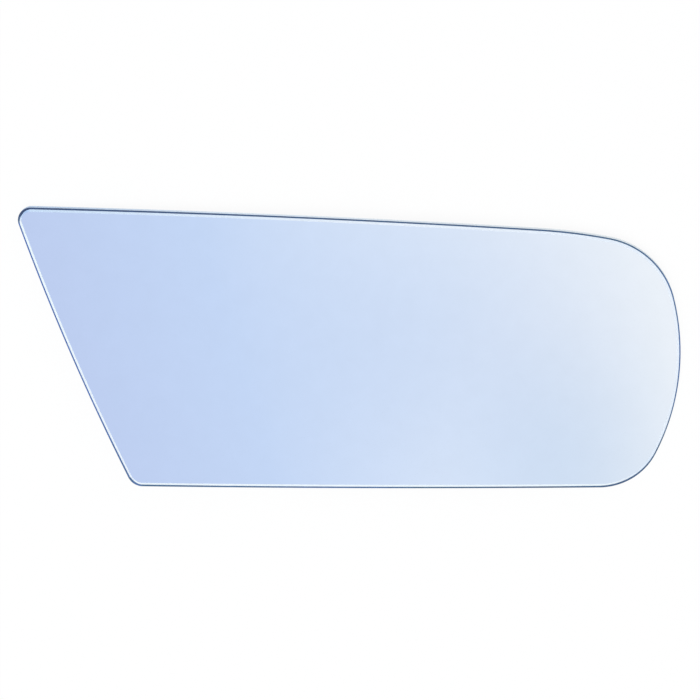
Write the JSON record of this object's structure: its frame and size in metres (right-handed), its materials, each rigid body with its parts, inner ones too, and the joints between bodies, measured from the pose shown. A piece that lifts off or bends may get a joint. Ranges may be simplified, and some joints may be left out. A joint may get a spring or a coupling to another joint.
{
  "type": "car door mirror glass",
  "caption": "Bare replacement glass of a car door mirror: long low convex mirrored sheet, slanted at one end and rounded at the other, with a ground edge.",
  "frame": {"origin": "middle of the bounding box at its bottom, which is the plane that the rim of the glass rests on", "axes": "+X along the length to the rounded end, +Y to the longer upper edge, +Z out of the mirror face"},
  "size_m": [0.1852, 0.0806, 0.0056],
  "materials": {
    "mirror_glass": "polished"
  },
  "bodies": {
    "root": {"mirror_glass": "mirror_glass"}
  },
  "joints": []
}
